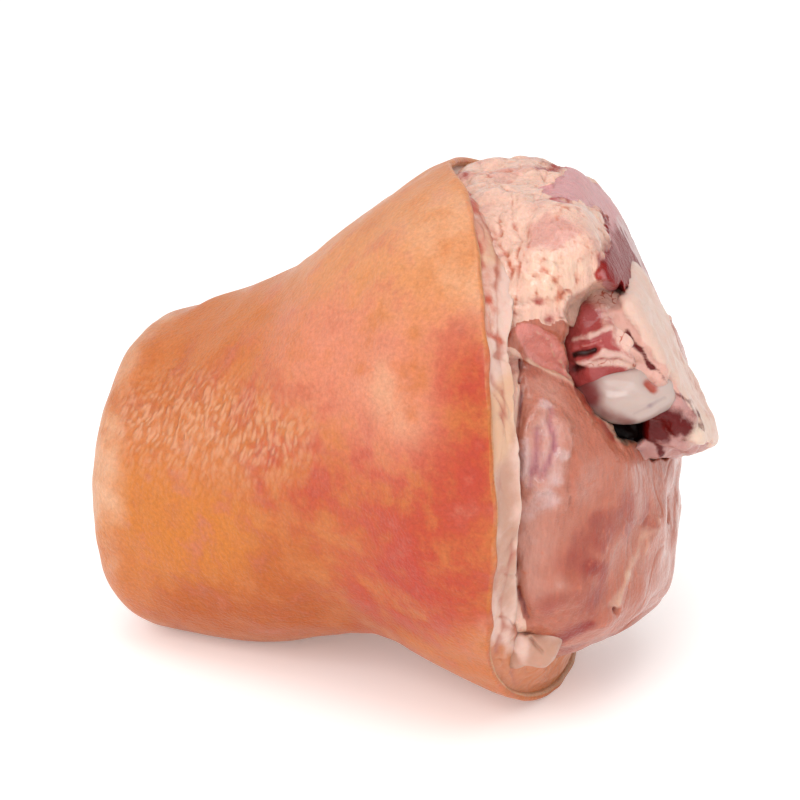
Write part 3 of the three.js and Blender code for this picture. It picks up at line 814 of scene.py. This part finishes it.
# %% Lobes, creases and stains all over the flesh
# Sizes are in millimetres: lobes of 7, lumps of 3.6 and crumbs of 1.8, in a net of fine tissue.
upright = flesh * (1.0, 1.0, 0.5)  # patterns worked out here come out twice as high as wide
lobes, lumps, crumbs = cells(upright, 7, 3.0), cells(flesh, 3.6, 6.0), cells(flesh, 1.8, 8.0)
tissue, fine_tissue = creases(upright, 6, 43), creases(upright, 3, 48)
rosy_fat = smooth_step(waves(upright, 13, 50), 0.1, 1.1) * (1 - yellow) * (0.25 + 0.75 * fat_here)
film = smooth_step(waves(upright, 20, 31), 0.0, 2.2)
bloody = smooth_step(waves(flesh, 30, 32) + 0.4 * waves(upright, 9, 37), 0.2, 1.5)
stains = fat_here * smooth_step(waves(flesh, 9, 49), 0.5, 1.4)
crinkles = (1 - 0.7 * band) * (0.6 * tissue + 0.4 * fine_tissue)
between_lumps = yellow * smooth_step(0.5 - lumps, 0, 0.2)
sinews = np.maximum(marks(sheet, TENDONS), marks(sheet, RIDGE))

# %% The flesh's masks
# Below this height the pocket's hollow is painted near-black: a painted shadow.
UNDER_POCKET = 12  # the pocket is dark below this height on the sheet

flesh_masks = drawn(sheet, front, tallow=TALLOW, sheen=SHEEN, groove=SPINDLE_GROOVES,
                    seam=SEAMS + NICKS, deep=DEEP_RED, torn=TORN, crease=CREASES,
                    strip=WHITE_STRIP, dark=DARK_LEAN)
flesh_masks["sheen"] += 0.55 * spindle
flesh_masks["deep"] += 0.6 * bloody
flesh_masks["torn"] += 0.6 * sawn_edge + 0.3 * stains
# The drawn creases, the crinkles and the hollows between the yellow lumps are painted darker and redder:
# painted shade.
flesh_masks["crease"] += 0.8 * crinkles + 0.6 * between_lumps
flesh_masks |= {
    "fat": fat_here, "bare": bare, "yellow": yellow, "rosy": triangle,
    "oval": np.maximum(front * region(sheet, OVAL_GREY, 1.8, fray), 0.7 * rosy_fat),
    "membrane": front * np.maximum(marks(sheet, MEMBRANE), 0.9 * spindle) + 0.35 * film,
    "streak": front * np.maximum(marks(sheet, PALE_STREAKS) * (1 - fat_here), sinews),
    "gap": smooth_step(hollow, 0.3, 0.9) * (sheet[..., 1] < UNDER_POCKET)}

# %% The flesh's relief, in millimetres
DRAWN_RELIEF = [
    (-1.5, SPINDLE_GROOVES), (-1.8, SEAMS), (0.5, PALE_STREAKS), (0.7, TENDONS), (1.0, RIDGE),
    (-2.0, NICKS), (-0.9, CREASES)]
BAND_RISE, OVAL_RISE, LUMP_RISE, SPINDLE_RISE = 1.0, 0.9, 1.2, 1.5
BARE_DEPTH, TRIANGLE_DEPTH, TORN_DEPTH, POCKET_DEPTH = 0.6, 0.7, 0.4, 14.0

lean_here = (1 - fat_here) * (1 - bare)
smooth_cap = fat_here * (1 - 0.6 * oval) * (1 - band)
torn_here = front * np.clip(marks(sheet, TORN) + sawn_edge + marks(sheet, RIDGE), 0, 1)
lean_relief = (0.6 * waves(flesh, 22, 33) + 0.3 * waves(flesh, 9, 34)
               - 0.2 * creases(upright, 12, 35, 0.14))
cap_relief = 1.4 * (lobes - 0.5) + 0.7 * waves(flesh, 12, 42) - 0.6 * tissue - 0.15 * fine_tissue
flesh_relief = (lean_here * lean_relief + smooth_cap * cap_relief
                + band * (BAND_RISE + 0.5 * waves(flesh, 8, 36))
                + OVAL_RISE * oval + LUMP_RISE * yellow * (lumps - 0.4) + SPINDLE_RISE * spindle
                - BARE_DEPTH * bare - TRIANGLE_DEPTH * triangle
                + torn_here * (0.9 * (crumbs - 0.5) - TORN_DEPTH)
                + front * sum(height * marks(sheet, listed) for height, listed in DRAWN_RELIEF))
flesh = flesh + normals(flesh) * flesh_relief[..., None] - TOWARDS * (POCKET_DEPTH * hollow)[..., None]
flesh_piece = add_surface("flesh", flesh, flesh_masks)

# %% The flesh's finish
# Raw pork, pulled and cut out of its seams and never dried, under a membrane and a film of water. That
# gives the eye small, sharp shines over a soft red depth. The saw left the bare lean dull, so it has no
# wet coat. Single fibres are 0.1 mm thick, too fine to show, so they are drawn 1.2 mm by 6 mm. The
# clouds of colour are 6 mm wide.
meat, tree, where = start_material("raw pork and its fat")
cloud = add(tree, "TexNoise", {"Vector": where, "Scale": 1 / (6 * MM), "Detail": 5.0, "Roughness": 0.6})
pulled = add(tree, "Mapping", {"Vector": where, "Rotation": (0.28, 0.0, 0.0), "Scale": (2.5, 2.5, 0.5)})
fibre = add(tree, "TexNoise", {"Vector": pulled, "Scale": 1 / (3 * MM), "Detail": 4.0, "Roughness": 0.6})
fine = add(tree, "TexNoise", {"Vector": where, "Scale": 1 / (1.6 * MM), "Detail": 3.0, "Roughness": 0.6})
# Among these coats, the creases and the near-black pocket are painted shade, and the sheen and the pale
# strip at the edge are partly painted highlights.
colour = paint(tree, linear("#ac6049"), cloud, [
    ("deep", "#871a08", 0.2, 0.95, 1.0), ("membrane", "#bd8372", 0.0, 1.3, 1.1),
    ("rosy", "#cd7c70", 0.2, 0.9, 0.8), ("fat", "#d9ae9b", 0.4, 0.6, 0.3),
    ("tallow", "#bc8c6c", 0.2, 1.0, 1.0), ("yellow", "#deb7a1", 0.2, 1.1, 1.0),
    ("oval", "#c79083", 0.2, 1.1, 1.2), ("crease", "#bd6445", 0.2, 1.1, 0.9),
    ("bare", "#c48b8b", 0.4, 0.6, 0.1), ("dark", "#7c0d0d", 0.1, 0.85, 0.9),
    ("strip", "#c7aaa8", 0.3, 0.9, 0.8), ("sheen", "#c59f99", 0.3, 1.1, 1.6),
    ("groove", "#a9646a", 0.2, 1.1, 1.0), ("torn", "#951f0d", 0.3, 1.05, 1.8),
    ("streak", "#c99f88", 0.2, 1.0, 1.0), ("seam", "#7d220d", 0.3, 1.0, 0.8),
    ("gap", "#1b0605", 0.0, 0.6, 0.2)])
shade = add(tree, "MapRange", {0: fibre, 1: 0.3, 2: 0.7, 3: 0.88, 4: 1.1})
colour = add(tree, "Mix", {0: 1.0, 6: colour, 7: shade},
             data_type="RGBA", blend_type="MULTIPLY").outputs[2]
normal = relief(tree, [(fibre, 0.4), (cloud, 1.2), (fine, 0.3)])
finish_material(tree, colour, 0.32, normal, 1.6, wetness(tree, "bare", 0.55), 0.13)
flesh_piece.data.materials.append(meat)
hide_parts("meat")

# %% [markdown]
# ## The joint's bone
#
# The saw went through the joint at a slant. It left a wedge of the thigh bone, tan and smooth where it
# was cut and torn below, and the white knob of the other bone's end in front of it. The wedge has flat
# sides, so it is a body between planes, and the saw is one of them.

# %% The sawn wedge
WEDGE_CENTRE = (67, 3, 78)
WEDGE_FACES = [
    (46, -66, 18), (84, -43, 25.5), (10, -5, 20), (180, 0, 17), (286.3, -26.9, 9), (285, 60, 26),
    (50, 20, 28), saw_face(WEDGE_CENTRE, BONE_PROUD)]
WEDGE_SHARPNESS = 11
# Dark red on the wedge: thin stains on the cut, and on the underside the red bone with the shade under the
# wedge painted in.
WEDGE_RED = [
    ((63, -3), (71, -6.5), 3.2, 1.0), ((60, -6.25), (65.5, -9.25), 3.0, 1.0),
    ((56.5, 16.75), (63, 8.5), 0.8, 0.9), ((63, 8.5), (72.5, -0.5), 0.5, 0.5),
    ((72.5, 0), (76, -7.5), 0.7, 0.5), ((62.5, -10), (66, -15.5), 1.0, 0.8)]
WEDGE_TORN = [
    (40, 32.5), (53, 28), (57, 21), (62.5, 12.75), (70, 4), (75.5, -6.5), (78, -11.25), (72.5, -20),
    (40, -20)]
# The gap under the knob, painted near-black on the wedge: a painted shadow, also sunk in.
WEDGE_GAP = [(51, -5), (58, -3.5), (60.75, -6), (61.25, -9.5), (59, -11.5), (50, -12.5)]
LILAC_BELOW = 2  # on the sheet: the torn side is pale above this height and lilac below
MARROW_AT, MARROW_RADIUS = (88, 12, 82), 13
CREAM_HEIGHT, CREAM_SPAN, CREAM_FROM, CREAM_TO = 74, 6, 82, 90
TORN_INWARDS, GAP_DEPTH = 0.6, 6.0

wedge = soft_body(WEDGE_CENTRE, WEDGE_FACES, WEDGE_SHARPNESS, directions((1, 0, 0), 240, 320))
sheet, front = shaky_sheet(wedge, 6, 53, 0.4), seen(wedge)
torn_side = front * region(sheet, WEDGE_TORN, 0.6, 0.4 * waves(wedge, 4, 55))
wedge_gap = front * region(sheet, WEDGE_GAP, 1.2)
wedge_masks = {
    "red": front * marks(sheet, WEDGE_RED), "dark": wedge_gap,
    "torn": torn_side * (sheet[..., 1] > LILAC_BELOW),
    "lilac": torn_side * (sheet[..., 1] <= LILAC_BELOW),
    "cream": (bell((wedge[..., 2] - CREAM_HEIGHT) / CREAM_SPAN)
              * smooth_step(wedge[..., 0], CREAM_FROM, CREAM_TO)),
    "marrow": patch(wedge, MARROW_AT, MARROW_RADIUS)}
torn_relief = 0.6 * waves(wedge, 5, 56) + 0.5 * (cells(wedge, 2.4, 57.0) - 0.5) - TORN_INWARDS
wedge_relief = 0.35 * waves(wedge, 12, 51) + 0.12 * waves(wedge, 4, 52) + torn_side * torn_relief
wedge = wedge + normals(wedge) * wedge_relief[..., None] - TOWARDS * (GAP_DEPTH * wedge_gap)[..., None]
wedge_piece = add_surface("joint_wedge", wedge, wedge_masks)

# %% The sawn bone's finish
# Bone cut by a saw, which smears it smooth, and torn from its sinews below. That gives the eye a nearly
# dry sheen. The holes of its sponge are 1 mm wide, and its stains 3 mm.
bone, tree, where = start_material("sawn bone")
grain = add(tree, "TexNoise", {"Vector": where, "Scale": 1 / (3 * MM), "Detail": 5.0, "Roughness": 0.65})
sponge = add(tree, "TexVoronoi", {"Vector": where, "Scale": 1 / (1.0 * MM)}, feature="SMOOTH_F1")
colour = paint(tree, linear("#d4b2a3"), grain, [
    ("torn", "#cfa093", 0.3, 0.8, 1.0), ("lilac", "#b88983", 0.3, 0.8, 0.8),
    ("cream", "#d7beac", 0.3, 1.0, 0.6), ("marrow", "#b87a68", 0.3, 1.3, 2.4),
    ("red", "#5c0503", 0.2, 0.8, 1.3), ("dark", "#160403", 0.1, 0.6, 0.3)])
normal = relief(tree, [(grain, 0.7), (sponge, 0.1)])
# The painted shadow in the gap gets no wet coat, so that it stays dark.
finish_material(tree, colour, 0.38, normal, 1.6, wetness(tree, "dark", 0.2), 0.2)
wedge_piece.data.materials.append(bone)
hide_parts("joint_bone")

# %% [markdown]
# ## The knob and its neck
#
# A bone's end is a round lump with a coat of gristle, and the neck behind it is raw where the joint
# was pulled open. Both are ellipsoids that lie along the eye's right, up and towards, because their
# outlines are easiest to measure from there. A sphere scaled by hand would do as well, but here the
# half sizes stay real millimetres.

# %% A rounded end
def rounded_end(centre, half, way, tilt=0.0):
    """An ellipsoid: the centre plus the direction's parts along right, up and towards, each times its
    half size. tilt turns right and up about towards, in degrees."""
    c, s = math.cos(math.radians(tilt)), math.sin(math.radians(tilt))
    axes = np.stack([c * RIGHT + s * UP, c * UP - s * RIGHT, TOWARDS])
    return np.array(centre) + (way * np.array(half)) @ axes


# %% The knob
KNOB_CENTRE, KNOB_HALF = (70.9, -14.2, 82.9), (12.4, 7.3, 10)
KNOB_SWELL, PIT_DEPTH, CRESCENT_DEPTH = 0.25, 1.4, 0.5
PIT = [((62.6, 4.8), (64, 3.2), 2.0, 1.0)]
CRESCENT = [((66.5, 0.5), (62.5, -1.5), 0.9, 0.6), ((62.5, -1.5), (58.5, -3.5), 0.8, 0.5)]
# Painted shade: the knob's left end and its edges are painted dark purple-red where they lie in shade.
PURPLE = [
    ((44.5, 7.5), (47.5, 1), 4.0, 1.0), ((49.5, 7.5), (60, 8.5), 1.6, 0.6),
    ((51, -3.5), (58, -5.75), 2.0, 0.6)]

knob = rounded_end(KNOB_CENTRE, KNOB_HALF, directions((1, 0, 0), 110, 160))
sheet, front = on_sheet(knob), seen(knob)
knob_masks = drawn(sheet, front, pit=PIT, shadow=CRESCENT, purple=PURPLE)
knob_relief = (KNOB_SWELL * waves(knob, 10, 61) - PIT_DEPTH * knob_masks["pit"]
               - CRESCENT_DEPTH * knob_masks["shadow"])
knob = knob + normals(knob) * knob_relief[..., None]
knob_piece = add_surface("knob", knob, knob_masks)

# %% The knob's finish
# Cartilage, grown as smooth as a bearing and still wet. That gives the eye the sharpest shine on the
# knuckle. Its clouds are 6 mm wide.
cartilage, tree, where = start_material("wet cartilage")
grain = add(tree, "TexNoise", {"Vector": where, "Scale": 1 / (6 * MM), "Detail": 3.0})
colour = paint(tree, linear("#b8a39b"), grain, [
    ("purple", "#753837", 0.15, 1.0, 0.6), ("shadow", "#896e75", 0.3, 1.1, 0.5),
    ("pit", "#a34f41", 0.3, 0.9, 0.6)])
finish_material(tree, colour, 0.24, relief(tree, [(grain, 0.4)]), 2.5, 0.5, 0.12)
knob_piece.data.materials.append(cartilage)

# %% The neck, red and torn
NECK_CENTRE, NECK_HALF = (63, -11, 94), (11, 14, 12)
NECK_SWELL, STREAK_RISE, PALE_RISE, DARK_DEPTH = 0.5, 0.9, 0.8, 1.2
NECK_PALE = [
    ((46.25, 27.5), (53, 26.5), 2.6, 1.0), ((53, 25), (58, 13.75), 4.2, 1.0),
    ((47.5, 9.5), (60, 8.5), 1.4, 0.9)]
NECK_STREAKS = [
    ((43.5, 15.5), (47.5, 16.5), 0.8, 0.6), ((47.5, 16.5), (52.5, 17.75), 1.0, 0.9),
    ((46, 13.75), (50.5, 15), 0.6, 0.5), ((45, 9), (51.5, 12), 1.0, 0.9),
    ((51.5, 12), (62.5, 8.5), 1.2, 1.0)]
# The deep slots in the torn flesh are painted near-black: painted shade in the slots, which are also sunk
# in.
NECK_DARK = [
    ((43.25, 11), (48.5, 12.5), 1.0, 1.0), ((42, 20.5), (44, 22), 1.6, 0.9), ((43, 7), (45, 8), 1.4, 0.8)]

neck = rounded_end(NECK_CENTRE, NECK_HALF, directions((1, 0, 0), 240, 320))
sheet, front = shaky_sheet(neck, 5, 72, 0.4), seen(neck)
neck_masks = drawn(sheet, front, pale=NECK_PALE, streaks=NECK_STREAKS, dark=NECK_DARK)
neck_masks["blood"] = neck_masks["pale"] * creases(neck, 3.5, 74)
neck_relief = (NECK_SWELL * waves(neck, 7, 71) + STREAK_RISE * neck_masks["streaks"]
               + PALE_RISE * neck_masks["pale"] * (cells(neck, 3, 75.0) - 0.4)
               - DARK_DEPTH * neck_masks["dark"])
neck = neck + normals(neck) * neck_relief[..., None]
neck_piece = add_surface("joint_pocket", neck, neck_masks)

# %% The neck's finish
# Flesh torn out of a joint: soft, wet and full of blood. Its shreds, 3 mm wide, break the shine up for
# the eye.
pocket, tree, where = start_material("torn flesh in the joint")
grain = add(tree, "TexNoise", {"Vector": where, "Scale": 1 / (3 * MM), "Detail": 5.0, "Roughness": 0.7})
colour = paint(tree, linear("#a54341"), grain, [
    ("pale", "#dcb4a6", 0.2, 0.9, 1.2), ("streaks", "#cfa89c", 0.25, 0.9, 1.2),
    ("blood", "#ae4c37", 0.3, 1.0, 1.0), ("dark", "#340b09", 0.3, 0.9, 0.4)])
finish_material(tree, colour, 0.3, relief(tree, [(grain, 0.9)]), 2.0, 0.6, 0.12)
neck_piece.data.materials.append(pocket)

# %% [markdown]
# ## A flap of fat
#
# At the lower corner the fat is thickest, and a tongue of it folds out over the muscle. It could be
# pulled out of the ring's own grid, but that would stretch the grid thin. Here it is a flattened ball
# with lumps in it, half sunk in the meat, in the same soft fat.

# %% The flap
FLAP_CENTRE, FLAP_HALF, FLAP_TILT = (56.0, -35.3, 25.4), (8.2, 6.6, 5.0), 12
FLAP_SWELL_RISE, FLAP_LUMP_RISE, FLAP_FOLD_DEPTH = 1.2, 1.0, 1.4
FLAP_FOLDS = [
    ((28, -55), (32, -58.25), 0.7, 1.0), ((32, -58.25), (37.25, -56.75), 0.6, 0.8),
    ((35, -62.5), (33, -60), 0.5, 0.6)]

flap = rounded_end(FLAP_CENTRE, FLAP_HALF, directions((1, 0, 0), 160, 240), FLAP_TILT)
sheet, front = shaky_sheet(flap, 5, 96), seen(flap)
flap_folds = front * marks(sheet, FLAP_FOLDS)
flap_lumps = cells(flap, 6, 9.0)
flap_relief = (FLAP_SWELL_RISE * waves(flap, 9, 94) + FLAP_LUMP_RISE * (flap_lumps - 0.5)
               - FLAP_FOLD_DEPTH * flap_folds)
flap = flap + normals(flap) * flap_relief[..., None]
# The flap's folds and the hollows between its lumps are painted darker: painted shade in the creases.
flap_piece = add_surface("fat_flap", flap, {
    "shade": 1.1 * smooth_step(waves(flap, 10, 95), -2.0, 0.3),
    "crease": 0.7 * flap_folds + 0.35 * smooth_step(0.5 - flap_lumps, 0, 0.3)})
flap_piece.data.materials.append(soft_fat)

# %% [markdown]
# ## The lean at the shank's end
#
# At the narrow end the saw cut straight across. The lean fills the ring of fat there, drawn back a
# little, in bundles with white tissue between them. It has the leg's own section at the fat's depth: a
# face that spreads from the middle to that section, a side along the leg, and a back inside the flesh.

# %% The core of lean
SHANK_RECESS, SEAM_DEPTH, UNDER_FAT = 2.0, 3.0, 0.3
CORE_COLUMNS, CORE_FACE, CORE_SIDE, CORE_BACK = 360, 60, 60, 12
BUNDLE_RISE, CORE_SWELL = 1.0, 0.4

core_angle = all_round(CORE_COLUMNS)
core_along = np.linspace(0, 1, CORE_SIDE)[:, None]
side = leg_point(core_along, core_angle, fat_depth(core_along, core_angle) - UNDER_FAT,
                 SHANK_RECESS + core_along * (-SEAM_DEPTH - SHANK_RECESS))
face_middle, back_middle = side[0].mean(0), side[-1].mean(0)
face = face_middle + np.linspace(0.02, 0.98, CORE_FACE)[:, None, None] * (side[0] - face_middle)
back = back_middle + np.linspace(0.95, 0.05, CORE_BACK)[:, None, None] * (side[-1] - back_middle)
core = np.concatenate([face, side, back])
at_face = rows_of(np.ones(CORE_FACE), np.zeros(CORE_SIDE + CORE_BACK))
bundles = cells(core, 11, 2.0)
core[..., 0] -= at_face * (BUNDLE_RISE * (bundles - 0.5) + CORE_SWELL * waves(core, 6, 81))
core_masks = {"membrane": 0.9 * at_face * creases(core * (0.3, 1.0, 1.0), 13, 82, 0.12),
              "deep": at_face * (0.45 + 0.35 * waves(core, 14, 83))}
core_piece = add_surface("core_lean", core, core_masks)
core_piece.data.materials.append(meat)

# %% [markdown]
# ## The long bone
#
# The two shafts of the lower leg are grown together side by side, with marrow in them. One profile, an
# oval with a waist, is carried along a line that rises a little. At the shank end it shrinks inwards
# over the sawn face, and the face steps down where the marrow has sunk.

# %% A section of the long bone
SHAFT_FROM, SHAFT_TO, SHAFT_Z, SHAFT_RISE = -65.0, 36.0, 43.0, 18.0
SHAFT_HALF, SHAFT_APART, SHAFT_WAIST, WAIST_REACH = 8.5, 9.0, 0.3, 0.4
SHAFT_COLUMNS = 160
shaft_angle = all_round(SHAFT_COLUMNS, 0)


def shaft_ring(t, shrink):
    """Two shafts side by side: y = -cos(a) half (1 - waist exp(-(sin(a) / reach)^2)), and z = sin(a)
    times the half height, each less shrink."""
    high = np.sin(shaft_angle)
    wide = SHAFT_HALF * (1 - SHAFT_WAIST * bell(high / WAIST_REACH)) - shrink
    y = -np.cos(shaft_angle) * wide
    z = SHAFT_Z + SHAFT_RISE * t * t + high * (SHAFT_HALF + SHAFT_APART / 2 - shrink)
    return np.stack(np.broadcast_arrays(SHAFT_FROM + t * (SHAFT_TO - SHAFT_FROM), y, z), -1)


# %% The long bone
SHAFT_WALL, SHAFT_MIDDLE = 2.6, 5.8
FACE_ROWS, SHAFT_ROWS, BACK_ROWS = 40, 30, 6
MARROW_DEPTH, EDGE_DEPTH, EDGE_WIDTH, MARROW_SWELL = 1.2, 0.5, 0.8, 0.25

shrinks = np.linspace(SHAFT_MIDDLE, 0, FACE_ROWS)[:, None]
bone_face = shaft_ring(0.0, shrinks)
hollow = smooth_step(shrinks, SHAFT_WALL - 0.3, SHAFT_WALL + 0.5)
bone_face[..., 0] += MARROW_DEPTH * hollow + EDGE_DEPTH * smooth_step(-shrinks, -EDGE_WIDTH, 0)
shaft = shaft_ring(np.linspace(0.01, 1, SHAFT_ROWS)[:, None], 0.0)
bone_back = shaft_ring(1.0, np.linspace(1, SHAFT_MIDDLE, BACK_ROWS)[:, None])
long_bone = np.concatenate([bone_face, shaft, bone_back])
marrow = rows_of(hollow[:, 0], np.zeros(SHAFT_ROWS + BACK_ROWS))
bone_edge = rows_of(np.ones(FACE_ROWS), np.zeros(SHAFT_ROWS + BACK_ROWS)) * (1 - marrow)
long_bone[..., 0] += MARROW_SWELL * waves(long_bone, 3, 91) * marrow
bone_piece = add_surface("long_bone", long_bone, {"red": marrow, "cream": bone_edge})
bone_piece.data.materials.append(bone)
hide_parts("shank_bone")

# %% [markdown]
# ## Floor and light
#
# The knuckle stands on a plain white floor that glows a little, so that it stays white all round. A
# soft key light comes from the near side, a broad one from high on the right, and a small weak one from
# the left: they give the shine on the skin and the membrane, over the highlights that are painted into
# the colours. The white world fills the shadows.

# %% The floor, in matt white paper
# Paper pressed without a coat, so it spreads light evenly and gives the eye no shine.
FLOOR_HALF = 4.0
floor_mesh = bpy.data.meshes.new("floor")
floor_mesh.from_pydata([(-FLOOR_HALF, -FLOOR_HALF, 0), (FLOOR_HALF, -FLOOR_HALF, 0),
                        (FLOOR_HALF, FLOOR_HALF, 0), (-FLOOR_HALF, FLOOR_HALF, 0)], [], [(0, 1, 2, 3)])
floor = bpy.data.objects.new("floor", floor_mesh)
bpy.context.collection.objects.link(floor)
paper = bpy.data.materials.new("white paper")
paper.use_nodes = True
paper.node_tree.nodes.clear()
white = add(paper.node_tree, "BsdfPrincipled", {
    "Base Color": linear("#fbf9f7"), "Roughness": 0.9, "Specular IOR Level": 0.1,
    "Emission Color": (1, 1, 1, 1), "Emission Strength": 0.2})
add(paper.node_tree, "OutputMaterial", {"Surface": white})
floor_mesh.materials.append(paper)

# %% The white room and the lights
WORLD_STRENGTH = 0.82
LIGHTS_AIM = np.array([0, 0, 0.06])

world = bpy.data.worlds.new("white room")
world.use_nodes = True
world.node_tree.nodes["Background"].inputs["Color"].default_value = (1, 1, 1, 1)
world.node_tree.nodes["Background"].inputs["Strength"].default_value = WORLD_STRENGTH
bpy.context.scene.world = world
bpy.context.scene.view_settings.view_transform = "Standard"


def add_light(name, azimuth, elevation, distance, size, power):
    """A square light in degrees, metres and watts, aimed at the middle of the knuckle."""
    data = bpy.data.lights.new(name, "AREA")
    data.size, data.energy = size, power
    light = bpy.data.objects.new(name, data)
    light.location = facing(azimuth, elevation) * distance + LIGHTS_AIM
    light.rotation_euler = (math.radians(90 - elevation), 0, math.radians(azimuth))
    bpy.context.collection.objects.link(light)


add_light("key", 4, 34, 1.1, 0.5, 4.0)
add_light("top", 30, 68, 1.2, 0.8, 5.0)
add_light("left", -60, 22, 1.2, 0.3, 1.2)
